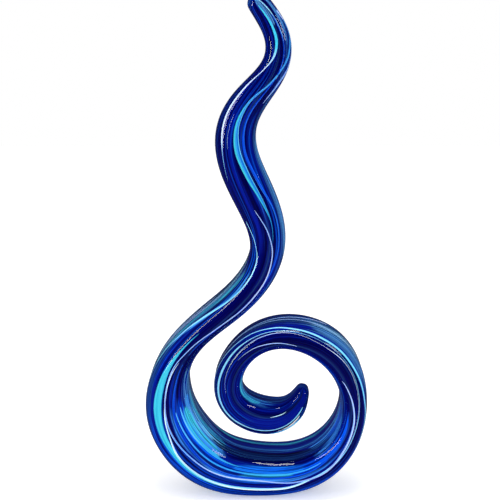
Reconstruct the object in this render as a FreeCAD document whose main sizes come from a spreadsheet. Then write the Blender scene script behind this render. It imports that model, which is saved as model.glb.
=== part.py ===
import FreeCAD, Part
import math
import os

# A glass sculpture: one thick rope of layered glass, drawn while hot into a waving spire
# that coils forward under itself and ends in a beak. Front is -Y, +Z is up, millimetres.
# The origin is the middle of the ground foot. The glass is built up as the maker builds it:
# a cobalt core and a pale core side by side, coloured canes laid on them, clear glass over all.

doc = FreeCAD.newDocument("glass_wave")

# Driving sizes
sheet = doc.addObject("Spreadsheet::Sheet", "sizes")
SIZES = (
    ("coil_width", 160.0),
    ("coil_height", 131.0),
    ("coil_thickness", 40.0),
    ("coil_depth", 52.0),
    ("spire_rise", 227.5),
    ("spire_sway", 30.0),
    ("spire_thickness", 30.0),
    ("spire_depth", 40.0),
    ("casing_wall", 2.4),
    ("end_wall", 4.0),
    ("tip_rounding", 6.5),
    ("beak_rounding", 5.0),
    ("cane_thickness", 1.2),
    ("aqua_width", 5.0),
    ("thread_width", 1.4),
    ("line_width", 2.4),
    ("streak_width", 2.0),
    ("layer_clearance", 0.2),
    ("cutting_overrun", 10.0),
)
for row, (alias, value) in enumerate(SIZES, 1):
    sheet.set("A%d" % row, alias)
    sheet.set("B%d" % row, "%g" % value)
    sheet.setAlias("B%d" % row, alias)
doc.recompute()
size = {alias: float(sheet.get(alias)) for alias, value in SIZES}

# Middle of the rope from the tip down to the coil: sideways place as a share of spire_sway,
# height above the coil as a share of spire_rise, then shares of spire_thickness and spire_depth.
SPIRE_SHARES = (
    (0.000, 0.973, 0.527, 0.425),
    (0.327, 0.913, 0.580, 0.500),
    (0.493, 0.839, 0.620, 0.563),
    (0.327, 0.764, 0.653, 0.625),
    (-0.100, 0.697, 0.767, 0.688),
    (-0.440, 0.625, 0.913, 0.750),
    (-0.500, 0.544, 0.987, 0.813),
    (-0.317, 0.463, 1.010, 0.875),
    (-0.033, 0.384, 0.990, 0.925),
    (0.200, 0.305, 0.920, 0.975),
    (0.240, 0.223, 0.827, 1.025),
    (0.007, 0.141, 0.760, 1.075),
    (-0.477, 0.063, 0.693, 1.125),
)
TIP_SHARES = (-0.123, 0.993)

# Middle of the rope round the coil and its inner curl: shares of coil_width, coil_height,
# coil_thickness and coil_depth. It goes down the left, under, up the right and in again.
COIL_SHARES = (
    (-0.196, 1.003, 0.490, 0.894),
    (-0.294, 0.893, 0.490, 0.923),
    (-0.366, 0.765, 0.605, 0.952),
    (-0.396, 0.617, 0.800, 0.981),
    (-0.387, 0.463, 0.940, 1.000),
    (-0.332, 0.324, 1.005, 1.000),
    (-0.248, 0.207, 1.000, 1.000),
    (-0.134, 0.138, 0.915, 1.000),
    (-0.006, 0.116, 0.820, 1.000),
    (0.122, 0.115, 0.765, 1.000),
    (0.245, 0.151, 0.720, 1.000),
    (0.350, 0.247, 0.630, 0.990),
    (0.416, 0.386, 0.540, 0.981),
    (0.436, 0.540, 0.485, 0.962),
    (0.412, 0.691, 0.545, 0.942),
    (0.342, 0.820, 0.590, 0.913),
    (0.232, 0.901, 0.550, 0.875),
    (0.109, 0.924, 0.488, 0.837),
    (-0.003, 0.882, 0.458, 0.798),
    (-0.088, 0.783, 0.458, 0.760),
    (-0.131, 0.655, 0.540, 0.721),
    (-0.109, 0.535, 0.580, 0.683),
    (-0.034, 0.460, 0.635, 0.644),
    (0.056, 0.431, 0.640, 0.596),
    (0.138, 0.453, 0.525, 0.538),
    (0.188, 0.515, 0.385, 0.462),
    (0.205, 0.571, 0.245, 0.346),
)
BEAK_SHARES = (0.214, 0.612)

# Half of the rope's section, from its front ridge to its back ridge, as shares of the depth
# and of the thickness: a narrower front lobe, a shallow waist and a broader back lobe.
HALF_SECTION_SHARES = (
    (-0.52, 0.0),
    (-0.49, 0.27),
    (-0.38, 0.455),
    (-0.21, 0.518),
    (-0.02, 0.475),
    (0.18, 0.475),
    (0.36, 0.485),
    (0.495, 0.29),
    (0.52, 0.0),
)
# How many flats go round the outside and round the layers inside, and where along a rounded
# end they end, as shares of its rounding.
OUTER_SIDES = 24
INNER_SIDES = 12
ROUNDING_SHARES = (0.03, 0.16, 0.45, 1.0)
# How many flats there are from one station to the next, outside and for the layers inside, and
# the least step left beside a rounded end, as a share of a step.
OUTER_STEPS = 2
INNER_STEPS = 1
LEAST_STEP_SHARE = 0.4

# Where the canes lie, counted in inner sides from the front ridge (0) over the side that
# faces into the coil (3) to the back ridge (6) and on over the outward side (9).
AQUA_PLACE = 11.5
ROYAL_PLACE = 0.72
THREAD_PLACE = 0.22
INNER_LINE_PLACE = 1.4
TROUGH_PLACES = (2.1, 3.1, 3.5)
CREST_PLACE = 10.3
VEIL_PLACES = (7.6, 8.6)
CORE_SPLIT_PLACE = 2.7


def stations():
    """Place and size of the rope's section along it: x, z, thickness and depth."""
    rows = []
    for sway, rise, thickness, depth in SPIRE_SHARES:
        x = sway * size["spire_sway"]
        z = size["coil_height"] + rise * size["spire_rise"]
        rows.append((x, z, thickness * size["spire_thickness"], depth * size["spire_depth"]))
    for across, up, thickness, depth in COIL_SHARES:
        x = across * size["coil_width"]
        z = up * size["coil_height"]
        rows.append((x, z, thickness * size["coil_thickness"], depth * size["coil_depth"]))
    return rows


def lifted(places):
    """Moves each place out of its bend, so that a smooth curve led by them runs through them."""
    out = [places[0]]
    for before, here, after in zip(places, places[1:], places[2:]):
        out.append(tuple(h - (b - 2 * h + a) / 6 for b, h, a in zip(before, here, after)))
    out.append(places[-1])
    return out


def smooth_curve(points, closed):
    """A cubic curve led by the points."""
    curve = Part.BSplineCurve()
    spans = len(points) if closed else len(points) - 3
    counts = [1] * (spans + 1) if closed else [4] + [1] * (spans - 1) + [4]
    curve.buildFromPolesMultsKnots(points, counts, list(range(spans + 1)), closed, 3)
    return curve


ROWS = stations()
TIP = (TIP_SHARES[0] * size["spire_sway"], size["coil_height"] + TIP_SHARES[1] * size["spire_rise"])
BEAK = (BEAK_SHARES[0] * size["coil_width"], BEAK_SHARES[1] * size["coil_height"])
PATH = [TIP] + lifted([row[:2] for row in ROWS]) + [BEAK]
spine = smooth_curve([FreeCAD.Vector(x, 0, z) for x, z in PATH], False)
GIRTHS = [ROWS[0][2:]] + lifted([row[2:] for row in ROWS]) + [ROWS[-1][2:]]
girth = smooth_curve([FreeCAD.Vector(thickness, depth, 0) for thickness, depth in GIRTHS], False)
HALF = HALF_SECTION_SHARES
OTHER_HALF = tuple((along, -across) for along, across in HALF[-2:0:-1])
SECTION = OTHER_HALF[-1:] + HALF + OTHER_HALF[:-1]
section = smooth_curve([FreeCAD.Vector(across, along, 0) for along, across in SECTION], True)


def places_along(wall, steps):
    """Where along the rope the flats of a layer end, the wall in from the rope's own ends."""
    last = spine.LastParameter
    tip, beak = size["tip_rounding"], size["beak_rounding"]
    start = [spine.parameterAtDistance(wall + share * tip, 0) for share in ROUNDING_SHARES]
    finish = [spine.parameterAtDistance(-wall - share * beak, last) for share in ROUNDING_SHARES]
    clear = LEAST_STEP_SHARE / steps
    middle = [number / steps for number in range(int(last) * steps)]
    return start + [p for p in middle if start[-1] + clear < p < finish[-1] - clear] + finish[::-1]


def rounded(distance, radius):
    """How much of its full width a rounded end has at a distance from its very end."""
    short = max(0, 1 - distance / radius)
    return math.sqrt(1 - short * short)


def section_point(place, turn, inset, wall):
    """A point of one layer, the inset inside the rope's surface, at a turn round the section."""
    centre = spine.value(place)
    forward = spine.tangent(place)[0]
    inward = FreeCAD.Vector(-forward.z, 0, forward.x)
    shape = section.value(turn * len(SECTION))
    full = girth.value(place)
    from_tip = spine.length(0, place) - wall
    from_beak = spine.length(place, spine.LastParameter) - wall
    fullness = rounded(from_tip, size["tip_rounding"]) * rounded(from_beak, size["beak_rounding"])
    across = shape.x * (full.x - 2 * inset) * fullness
    along = shape.y * (full.y - 2 * inset) * fullness
    return centre + inward * across + FreeCAD.Vector(0, along, 0)


def facet(*corners):
    """A flat facet between corners."""
    return Part.Face(Part.makePolygon(corners + corners[:1]))


def faceted_body(outlines):
    """A solid of flat facets, two from each side of an outline to the same side of the next."""
    faces = [facet(*outlines[0]), facet(*outlines[-1])]
    for near, far in zip(outlines, outlines[1:]):
        for here, point in enumerate(near):
            there = (here + 1) % len(near)
            faces.append(facet(point, near[there], far[here]))
            faces.append(facet(near[there], far[there], far[here]))
    shell = Part.makeShell(faces)
    shell.sewShape()
    solid = Part.makeSolid(shell)
    if solid.Volume < 0:
        solid.reverse()
    return solid


def plain_body(inset, wall, sides, steps):
    """A layer of the rope as a solid with this many sides."""
    outlines = []
    for place in places_along(wall, steps):
        turns = [side / sides for side in range(sides)]
        outlines.append([section_point(place, turn, inset, wall) for turn in turns])
    return faceted_body(outlines)


def side_point(place, side, inset):
    """A point on one of the flat sides of an inner layer, part of the way along that side."""
    corner = math.floor(side)
    ends = []
    for number in (corner, corner + 1):
        turn = (number % INNER_SIDES) / INNER_SIDES
        ends.append(section_point(place, turn, inset, size["end_wall"]))
    return ends[0] + (ends[1] - ends[0]) * (side - corner)


# The layers inside the clear glass: a cane's outer face, its inner face and the groove below
CANE_TOP = size["casing_wall"] + size["layer_clearance"]
CANE_BOTTOM = CANE_TOP + size["cane_thickness"]
GROOVE_FLOOR = CANE_BOTTOM + size["layer_clearance"]
SIDE_LENGTH = math.pi / 2 * (size["coil_thickness"] + size["coil_depth"]) / INNER_SIDES
INNER_PLACES = places_along(size["end_wall"], INNER_STEPS)[1:-1]


def cane_span(middle, width):
    """Where a cane starts and ends round the section, in sides."""
    return middle - width / SIDE_LENGTH / 2, middle + width / SIDE_LENGTH / 2


CANES = (
    ("aqua_ribbon", (AQUA_PLACE,), size["aqua_width"]),
    ("royal_ribbon", (ROYAL_PLACE,), size["line_width"]),
    ("ridge_thread", (THREAD_PLACE,), size["thread_width"]),
    ("inner_ribbon", (INNER_LINE_PLACE,), size["line_width"]),
    ("crest_ribbon", (CREST_PLACE,), size["line_width"]),
    ("trough_streaks", TROUGH_PLACES, size["streak_width"]),
    ("veil_streaks", VEIL_PLACES, size["streak_width"]),
)
GROOVES = [cane_span(middle, width) for name, middles, width in CANES for middle in middles]


def cane(middle, width):
    """One coloured cane, laid in its groove along the whole rope."""
    gap = size["layer_clearance"] / SIDE_LENGTH
    start, finish = cane_span(middle, width)
    corners = (
        (start + gap, CANE_TOP),
        (finish - gap, CANE_TOP),
        (finish - gap, CANE_BOTTOM),
        (start + gap, CANE_BOTTOM),
    )
    outlines = [[side_point(place, *corner) for corner in corners] for place in INNER_PLACES]
    return faceted_body(outlines)


def core_corners(start, finish):
    """The corners of a core's section, let down into a groove wherever a cane lies on it."""
    corners = [(start, CANE_TOP), (finish, CANE_TOP)]
    held = []
    for low, high in GROOVES:
        for turn in (-INNER_SIDES, 0):
            if low + turn > start and high + turn < finish:
                held.append((low + turn, high + turn))
    for low, high in held:
        corners += [(low, CANE_TOP), (low, GROOVE_FLOOR), (high, GROOVE_FLOOR), (high, CANE_TOP)]
    for side in range(math.ceil(start), math.floor(finish) + 1):
        corners.append((side, GROOVE_FLOOR if any(low < side < high for low, high in held) else CANE_TOP))

    def order(corner):
        side, inset = corner
        rising = any(side == high for low, high in held)
        return side, -inset if rising else inset

    return sorted(corners, key=order)


def core(start, finish):
    """One of the two cores, closed by a flat from one of its edges to the other."""
    corners = core_corners(start, finish)
    return faceted_body([[side_point(place, *corner) for corner in corners] for place in INNER_PLACES])


def add(name, shape):
    """Puts a finished shape into the document under its own label."""
    item = doc.addObject("Part::Feature", name)
    item.Label = name
    item.Shape = shape
    item.Placement = FreeCAD.Placement()
    return item


# Clear casing: the last gather of clear glass, ground flat underneath, with the colours inside
gather = add("clear_gather", plain_body(0, 0, OUTER_SIDES, OUTER_STEPS))
hollow = plain_body(size["casing_wall"], size["end_wall"], INNER_SIDES, INNER_STEPS)
space = add("colour_space", hollow)
grinding = doc.addObject("Part::Box", "foot_grinding")
grinding.setExpression("Length", "sizes.coil_width + 2 * sizes.cutting_overrun")
grinding.setExpression("Width", "sizes.coil_depth + 2 * sizes.cutting_overrun")
grinding.setExpression("Height", "sizes.cutting_overrun")
grinding.setExpression("Placement.Base.x", "-sizes.coil_width / 2 - sizes.cutting_overrun")
grinding.setExpression("Placement.Base.y", "-sizes.coil_depth / 2 - sizes.cutting_overrun")
grinding.setExpression("Placement.Base.z", "-sizes.cutting_overrun")
ground = doc.addObject("Part::Cut", "ground_gather")
ground.Base = gather
ground.Tool = grinding
ground.Refine = False
casing = doc.addObject("Part::Cut", "clear_casing")
casing.Label = "clear_casing"
casing.Base = ground
casing.Tool = space
casing.Refine = False

# Cores: the dark one in front and the pale one behind it, a clearance apart
edge_gap = size["layer_clearance"] / SIDE_LENGTH
cobalt = add("cobalt_core", core(-CORE_SPLIT_PLACE, CORE_SPLIT_PLACE))
pale = add("pale_core", core(CORE_SPLIT_PLACE + edge_gap, INNER_SIDES - CORE_SPLIT_PLACE - edge_gap))

# Canes of coloured glass, each along the whole rope, those of one kind as one node
laid = []
for name, middles, width in CANES:
    solids = [cane(middle, width) for middle in middles]
    laid.append(add(name, solids[0] if len(solids) == 1 else Part.Compound(solids)))

doc.recompute()
for item in doc.Objects:
    if "Invalid" in item.State or "Error" in item.State:
        raise RuntimeError("%s failed: %s" % (item.Name, item.State))
subparts = [casing, cobalt, pale] + laid
for item in subparts:
    if item.Shape.isNull() or not item.Shape.isValid():
        raise RuntimeError("%s has no valid shape" % item.Label)
os.makedirs("parts", exist_ok=True)
for item in subparts:
    item.Shape.exportStep("parts/%s.step" % item.Label)
    print(item.Label, len(item.Shape.Solids), "solids", round(item.Shape.Volume), "mm3")
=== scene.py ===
import math

import bmesh
import bpy
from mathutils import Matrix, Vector


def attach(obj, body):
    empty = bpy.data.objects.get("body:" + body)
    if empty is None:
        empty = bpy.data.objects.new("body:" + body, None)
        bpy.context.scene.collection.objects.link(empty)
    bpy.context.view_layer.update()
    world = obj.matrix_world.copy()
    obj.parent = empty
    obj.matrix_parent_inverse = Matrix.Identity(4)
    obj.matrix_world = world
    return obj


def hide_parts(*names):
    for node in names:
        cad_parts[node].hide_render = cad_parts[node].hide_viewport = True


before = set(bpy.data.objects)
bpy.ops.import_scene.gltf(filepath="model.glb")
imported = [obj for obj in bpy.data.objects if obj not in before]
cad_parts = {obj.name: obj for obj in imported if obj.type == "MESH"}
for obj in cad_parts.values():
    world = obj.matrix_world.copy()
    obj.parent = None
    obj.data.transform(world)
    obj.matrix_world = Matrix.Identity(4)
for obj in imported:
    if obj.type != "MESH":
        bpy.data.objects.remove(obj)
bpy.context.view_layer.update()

# Clear casing: the last gather of clear glass over the coloured layers, drawn out and coiled while
# hot and then polished. It is one solid skin, ground flat underneath where the sculpture stands,
# and its way and section lead all the layers inside it.

# The way from the tip to the beak: x, z, thickness in the coil's plane and depth, in millimetres.
# Places along the rope count the rows, from 0 at the tip to 39 at the beak.
WAY = (
    (0.0, 352.3, 15.8, 17.0),
    (9.8, 338.8, 17.4, 20.0),
    (14.8, 321.8, 18.6, 22.5),
    (9.8, 304.8, 19.6, 25.0),
    (-3.0, 289.6, 23.0, 27.5),
    (-13.2, 273.3, 27.4, 30.0),
    (-15.0, 254.8, 29.6, 32.5),
    (-9.5, 236.3, 30.3, 35.0),
    (-1.0, 218.3, 29.7, 37.0),
    (6.0, 200.3, 27.6, 39.0),
    (7.2, 181.8, 24.8, 41.0),
    (0.2, 163.1, 22.8, 43.0),
    (-14.3, 145.4, 20.8, 45.0),
    (-31.4, 131.4, 19.6, 46.5),
    (-47.0, 117.0, 19.6, 48.0),
    (-58.6, 100.2, 24.2, 49.5),
    (-63.3, 80.8, 32.0, 51.0),
    (-61.9, 60.6, 37.6, 52.0),
    (-53.1, 42.4, 40.2, 52.0),
    (-39.6, 27.1, 40.0, 52.0),
    (-21.4, 18.1, 36.6, 52.0),
    (-1.0, 15.2, 32.8, 52.0),
    (19.5, 15.1, 30.6, 52.0),
    (39.2, 19.8, 28.8, 52.0),
    (56.0, 32.3, 25.2, 51.5),
    (66.5, 50.6, 21.6, 51.0),
    (69.8, 70.8, 19.4, 50.0),
    (65.9, 90.5, 21.8, 49.0),
    (54.7, 107.4, 23.6, 47.5),
    (37.2, 118.0, 22.0, 45.5),
    (17.5, 121.1, 19.5, 43.5),
    (-0.5, 115.6, 18.3, 41.5),
    (-14.1, 102.6, 18.3, 39.5),
    (-21.0, 85.8, 21.6, 37.5),
    (-17.5, 70.1, 23.2, 35.5),
    (-5.5, 60.2, 25.4, 33.5),
    (8.9, 56.5, 25.6, 31.0),
    (22.0, 59.4, 21.0, 28.0),
    (30.0, 67.5, 15.4, 24.0),
    (32.8, 74.8, 9.8, 18.0),
)
TIP = (-3.7, 357.0)
BEAK = (34.2, 80.2)
TIP_ROUNDING = 6.5
BEAK_ROUNDING = 5.0
# Half of the section, from the front ridge over the side that faces into the coil to the back
# ridge: along the depth and across the thickness, as shares of both.
HALF_SECTION_SHARES = (
    (-0.52, 0.0),
    (-0.49, 0.27),
    (-0.38, 0.455),
    (-0.21, 0.518),
    (-0.02, 0.475),
    (0.18, 0.475),
    (0.36, 0.485),
    (0.495, 0.29),
    (0.52, 0.0),
)
# Where the rings lie in a rounded end, as shares of its rounding.
ROUNDING_SHARES = (0.01, 0.06, 0.16, 0.33, 0.6, 1.0)
# The least gap between an end's rings and the next one, as a share of a step.
GAP_SHARE = 0.4
# An inset is how deep a surface lies under the rope's full section, in millimetres.
SKIN_INSET = 0.12
# Where the rope is thinner than this, the clear glass over the colours thins with it.
THIN_ROPE = 20.0
MM_PER_METRE = 1000


def lifted(rows):
    """Moves each row out of its bend, so that a smooth curve led by the rows runs through them."""
    rows = [Vector(row) for row in rows]
    threes = zip(rows, rows[1:], rows[2:])
    bends = [here - (before - 2 * here + after) / 6 for before, here, after in threes]
    return rows[:1] + bends + rows[-1:]


def on_curve(poles, place):
    """A point on the cubic curve led by the poles, which starts and ends at the outer two."""
    last = len(poles) - 3
    knots = [0] * 3 + list(range(last + 1)) + [last] * 3
    span = min(int(place), last - 1) + 3
    points = [poles[span - 3 + number] for number in range(4)]
    for level in (1, 2, 3):
        for number in range(3, level - 1, -1):
            low = knots[span - 3 + number]
            high = knots[span + 1 + number - level]
            points[number] = points[number - 1].lerp(points[number], (place - low) / (high - low))
    return points[3]


SPINE = [Vector(TIP)] + lifted([row[:2] for row in WAY]) + [Vector(BEAK)]
GIRTH = [Vector(WAY[0][2:])] + lifted([row[2:] for row in WAY]) + [Vector(WAY[-1][2:])]
LAST = len(SPINE) - 3
RING = [Vector((across, along)) for along, across in HALF_SECTION_SHARES]
RING += [Vector((-across, along)) for along, across in HALF_SECTION_SHARES[-2:0:-1]]
# The rope's length up to each step, in millimetres, with this many steps from row to row.
STEPS = 40
LENGTHS = [0.0]
for step in range(LAST * STEPS):
    reach = on_curve(SPINE, (step + 1) / STEPS) - on_curve(SPINE, step / STEPS)
    LENGTHS.append(LENGTHS[-1] + reach.length)


def length_to(place):
    """Length of the rope from its tip to a place, in millimetres."""
    step = min(int(place * STEPS), LAST * STEPS - 1)
    return LENGTHS[step] + (LENGTHS[step + 1] - LENGTHS[step]) * (place * STEPS - step)


def place_at(length):
    """The place that lies this far along the rope."""
    step = next(number for number, reach in enumerate(LENGTHS) if reach >= length)
    share = (length - LENGTHS[step - 1]) / (LENGTHS[step] - LENGTHS[step - 1])
    return (step - 1 + share) / STEPS


def rounded(distance, radius):
    """How much of its full width a rounded end has at a distance from its very end."""
    short = max(0.0, 1 - distance / radius)
    return math.sqrt(max(0.0, 1 - short * short))


def section(turn):
    """A point of the rope's section at a turn from the front ridge, as shares of its size."""
    place = (turn % 1) * len(RING)
    start = int(place)
    share = place - start
    weights = (
        (1 - share) ** 3,
        3 * share ** 3 - 6 * share ** 2 + 4,
        -3 * share ** 3 + 3 * share ** 2 + 3 * share + 1,
        share ** 3,
    )
    near = [RING[(start + number - 1) % len(RING)] for number in range(4)]
    corners = [corner * weight for corner, weight in zip(near, weights)]
    return (corners[0] + corners[1] + corners[2] + corners[3]) / 6


def rope_point(place, turn, inset, wall=0.0):
    """A point this inset deep under the rope's skin, in metres. A layer inside the rope ends a wall
    short of its ends, and the clear glass over it is thinner where the rope is thin."""
    centre = on_curve(SPINE, place)
    nudge = 0.01
    ahead = on_curve(SPINE, min(place + nudge, LAST)) - on_curve(SPINE, max(place - nudge, 0))
    ahead.normalize()
    shape = section(turn)
    girth = on_curve(GIRTH, place)
    if wall:
        inset *= min(1.0, girth.x / THIN_ROPE)
    fullness = rounded(length_to(place) - wall, TIP_ROUNDING)
    fullness *= rounded(LENGTHS[-1] - wall - length_to(place), BEAK_ROUNDING)
    across = shape.x * (girth.x - 2 * inset) * fullness
    along = shape.y * (girth.y - 2 * inset) * fullness
    point = Vector((centre.x - ahead.y * across, along, centre.y + ahead.x * across))
    return point / MM_PER_METRE


def places_from(wall, steps):
    """The places that a layer is drawn through, close together in its rounded ends."""
    start = [place_at(wall + share * TIP_ROUNDING) for share in ROUNDING_SHARES]
    finish = [place_at(LENGTHS[-1] - wall - share * BEAK_ROUNDING) for share in ROUNDING_SHARES]
    clear = GAP_SHARE / steps
    middle = [number / steps for number in range(LAST * steps)]
    middle = [place for place in middle if start[-1] + clear < place < finish[-1] - clear]
    return start + middle + finish[::-1]


def draw_out(name, outlines, turns, places):
    """Draws a closed outline of hot glass out along the rope, one ring after another, and gives it
    a UV map with its corners' turns as u and the share of the way along as v."""
    bpy.ops.object.select_all(action="DESELECT")
    bpy.ops.mesh.primitive_circle_add(vertices=len(turns), enter_editmode=True)
    piece = bpy.context.object
    piece.name = name
    mesh = bmesh.from_edit_mesh(piece.data)
    corner = mesh.verts.layers.int.new("corner")
    ring = mesh.verts.layers.int.new("ring")
    mesh.verts.ensure_lookup_table()
    for number, vert in enumerate(mesh.verts):
        vert[corner] = number
        vert.co = outlines[0][number]
    for number, outline in enumerate(outlines[1:], 1):
        bpy.ops.mesh.extrude_edges_move()
        mesh = bmesh.from_edit_mesh(piece.data)
        for vert in mesh.verts:
            if vert.select:
                vert.co = outline[vert[corner]]
                vert[ring] = number
    for end in (0, len(outlines) - 1):
        bpy.ops.mesh.select_all(action="DESELECT")
        mesh = bmesh.from_edit_mesh(piece.data)
        for edge in mesh.edges:
            edge.select_set(all(vert[ring] == end for vert in edge.verts))
        bpy.ops.mesh.edge_face_add()
    bpy.ops.mesh.select_all(action="SELECT")
    bpy.ops.mesh.normals_make_consistent(inside=False)
    mesh = bmesh.from_edit_mesh(piece.data)
    uv = mesh.loops.layers.uv.new("way")
    for face in mesh.faces:
        around = [turns[loop.vert[corner]] for loop in face.loops]
        for loop, turn in zip(face.loops, around):
            seam = 1 if max(around) - turn > 0.5 else 0
            loop[uv].uv = (turn + seam, places[loop.vert[ring]] / LAST)
    bmesh.update_edit_mesh(piece.data)
    bpy.ops.object.mode_set(mode="OBJECT")
    return piece


def smoothed(piece, levels):
    """Rounds a drawn piece off, as the heat does."""
    rounding = piece.modifiers.new("rounding", "SUBSURF")
    rounding.levels = rounding.render_levels = levels
    bpy.context.view_layer.objects.active = piece
    bpy.ops.object.modifier_apply(modifier=rounding.name)
    bpy.ops.object.shade_smooth()


SKIN_SIDES = 16
skin_turns = [side / SKIN_SIDES - 0.5 for side in range(SKIN_SIDES)]
skin_places = places_from(wall=0.0, steps=2)
casing = draw_out(
    "clear_skin",
    [[rope_point(place, turn, SKIN_INSET) for turn in skin_turns] for place in skin_places],
    skin_turns,
    skin_places,
)
smoothed(casing, levels=3)
# The foot is ground flat at this height, in metres.
FOOT_LEVEL = 0.0002
bpy.ops.object.mode_set(mode="EDIT")
bpy.ops.mesh.select_all(action="SELECT")
bpy.ops.mesh.bisect(plane_co=(0, 0, FOOT_LEVEL), plane_no=(0, 0, 1), use_fill=True, clear_inner=True)
bpy.ops.mesh.mark_sharp()
bpy.ops.object.mode_set(mode="OBJECT")

CLEAR_TINT = (0.93, 0.97, 1.0)
GLASS_IOR = 1.5
RIPPLES_PER_METRE = 24.0
RIPPLE_HEIGHT = 0.0003
clear_glass = bpy.data.materials.new("clear_glass")
clear_glass.use_nodes = True
shader = clear_glass.node_tree.nodes["Principled BSDF"]
shader.inputs["Base Color"].default_value = (*CLEAR_TINT, 1)
shader.inputs["Roughness"].default_value = 0.0
shader.inputs["IOR"].default_value = GLASS_IOR
shader.inputs["Transmission Weight"].default_value = 1.0
ripple = clear_glass.node_tree.nodes.new("ShaderNodeTexNoise")
ripple.inputs["Scale"].default_value = RIPPLES_PER_METRE
ripple.inputs["Detail"].default_value = 1.0
spot = clear_glass.node_tree.nodes.new("ShaderNodeTexCoord")
clear_glass.node_tree.links.new(spot.outputs["Object"], ripple.inputs["Vector"])
swell = clear_glass.node_tree.nodes.new("ShaderNodeBump")
swell.inputs["Strength"].default_value = 0.3
swell.inputs["Distance"].default_value = RIPPLE_HEIGHT
clear_glass.node_tree.links.new(ripple.outputs[0], swell.inputs["Height"])
clear_glass.node_tree.links.new(swell.outputs[0], shader.inputs["Normal"])
casing.data.materials.append(clear_glass)
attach(casing, "root")
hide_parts("clear_casing")

# Cobalt core: the dark blue glass that fills the front lobe, gathered before all the rest. It is
# one body, flat at the back where the pale core is fused to it, with darker and lighter blues
# pulled out in it as streaks and lines. At the tip, a pale patch and thin light lines on it are
# painted reflections.
CORE_INSET = 2.7
END_WALL = 4.0
CORE_SPLIT = 0.225
CORE_FLATS = 16
BACK_SHARES = (0.25, 0.5, 0.75)


def core(name, start, finish):
    """A core along the whole rope: round with it from one turn to another, and flat between them."""
    places = places_from(END_WALL, steps=1)
    turns = [start + (finish - start) * flat / CORE_FLATS for flat in range(CORE_FLATS + 1)]
    outlines = []
    for place in places:
        points = [rope_point(place, turn, CORE_INSET, END_WALL) for turn in turns]
        outlines.append(points + [points[-1].lerp(points[0], share) for share in BACK_SHARES])
    turns += [finish + (start - finish) * share for share in BACK_SHARES]
    piece = draw_out(name, outlines, turns, places)
    smoothed(piece, levels=2)
    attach(piece, "root")
    return piece


cobalt = core("cobalt_rope", -CORE_SPLIT, CORE_SPLIT)
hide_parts("cobalt_core")


def put(tree, kind, **values):
    """Adds a node of this kind, with values for its settings."""
    node = tree.nodes.new(kind)
    for name, value in values.items():
        setattr(node, name, value)
    return node


def feed(tree, socket, value):
    """Gives a socket a plain number or colour, or links another socket to it."""
    if isinstance(value, (int, float)):
        socket.default_value = value
    elif isinstance(value, tuple):
        socket.default_value = (*value, 1)
    else:
        tree.links.new(value, socket)


def sum_of(tree, operation, *terms):
    """The result of a maths node that works on sockets or plain numbers."""
    node = put(tree, "ShaderNodeMath", operation=operation)
    for socket, term in zip(node.inputs, terms):
        feed(tree, socket, term)
    return node.outputs[0]


def way_of(tree):
    """The turn round the section and the share of the way along, as two sockets."""
    way = put(tree, "ShaderNodeUVMap", uv_map="way")
    parts = put(tree, "ShaderNodeSeparateXYZ")
    tree.links.new(way.outputs[0], parts.inputs[0])
    return parts.outputs[0], parts.outputs[1]


# Streaks that the pull leaves in the glass: they read the way along the rope and round it, so they
# run with every bend as the drawn glass does. Around and Along say how often they change, Shift
# sets one lot apart from the next, and Low and High are where a streak starts and is full.
STREAK_NAMES = ("Around", "Along", "Shift", "Low", "High")
streaks = bpy.data.node_groups.new("pulled_streaks", "ShaderNodeTree")
for name in STREAK_NAMES:
    streaks.interface.new_socket(name, in_out="INPUT", socket_type="NodeSocketFloat")
streaks.interface.new_socket("Mask", in_out="OUTPUT", socket_type="NodeSocketFloat")
given = put(streaks, "NodeGroupInput")
turn, along = way_of(streaks)
angle = sum_of(streaks, "MULTIPLY", turn, 2 * math.pi)
spot = put(streaks, "ShaderNodeCombineXYZ")
for number, operation in ((0, "COSINE"), (1, "SINE")):
    wave = sum_of(streaks, operation, angle)
    streaks.links.new(sum_of(streaks, "MULTIPLY", wave, given.outputs["Around"]), spot.inputs[number])
run = sum_of(streaks, "MULTIPLY_ADD", along, given.outputs["Along"], given.outputs["Shift"])
streaks.links.new(run, spot.inputs[2])
noise = put(streaks, "ShaderNodeTexNoise")
noise.inputs["Scale"].default_value = 1.0
noise.inputs["Detail"].default_value = 3.0
streaks.links.new(spot.outputs[0], noise.inputs["Vector"])
spread = put(streaks, "ShaderNodeMapRange", interpolation_type="SMOOTHSTEP")
streaks.links.new(noise.outputs[0], spread.inputs["Value"])
streaks.links.new(given.outputs["Low"], spread.inputs["From Min"])
streaks.links.new(given.outputs["High"], spread.inputs["From Max"])
result = put(streaks, "NodeGroupOutput")
streaks.links.new(spread.outputs[0], result.inputs[0])

# A laid line: it keeps its own place round the section and its own width, with a slight waver, and
# it fades out where its half width comes down to the thinnest.
WAVERS = 30.0
WAVER = 0.008
THINNEST = 0.0012
FADE = 4.0
line = bpy.data.node_groups.new("laid_line", "ShaderNodeTree")
for name in ("Centre", "Half Width", "Edge"):
    line.interface.new_socket(name, in_out="INPUT", socket_type="NodeSocketFloat")
line.interface.new_socket("Mask", in_out="OUTPUT", socket_type="NodeSocketFloat")
given = put(line, "NodeGroupInput")
half_width = given.outputs["Half Width"]
edge = given.outputs["Edge"]
turn, along = way_of(line)
waver = put(line, "ShaderNodeTexNoise", noise_dimensions="1D")
waver.inputs["Scale"].default_value = WAVERS
waver.inputs["Detail"].default_value = 2.0
line.links.new(along, waver.inputs["W"])
swing = sum_of(line, "MULTIPLY_ADD", waver.outputs[0], 2 * WAVER, -WAVER)
off = sum_of(line, "SUBTRACT", sum_of(line, "ADD", turn, swing), given.outputs["Centre"])
off = sum_of(line, "ABSOLUTE", sum_of(line, "WRAP", off, 0.5, -0.5))
fall = put(line, "ShaderNodeMapRange", interpolation_type="SMOOTHSTEP")
line.links.new(off, fall.inputs["Value"])
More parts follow.
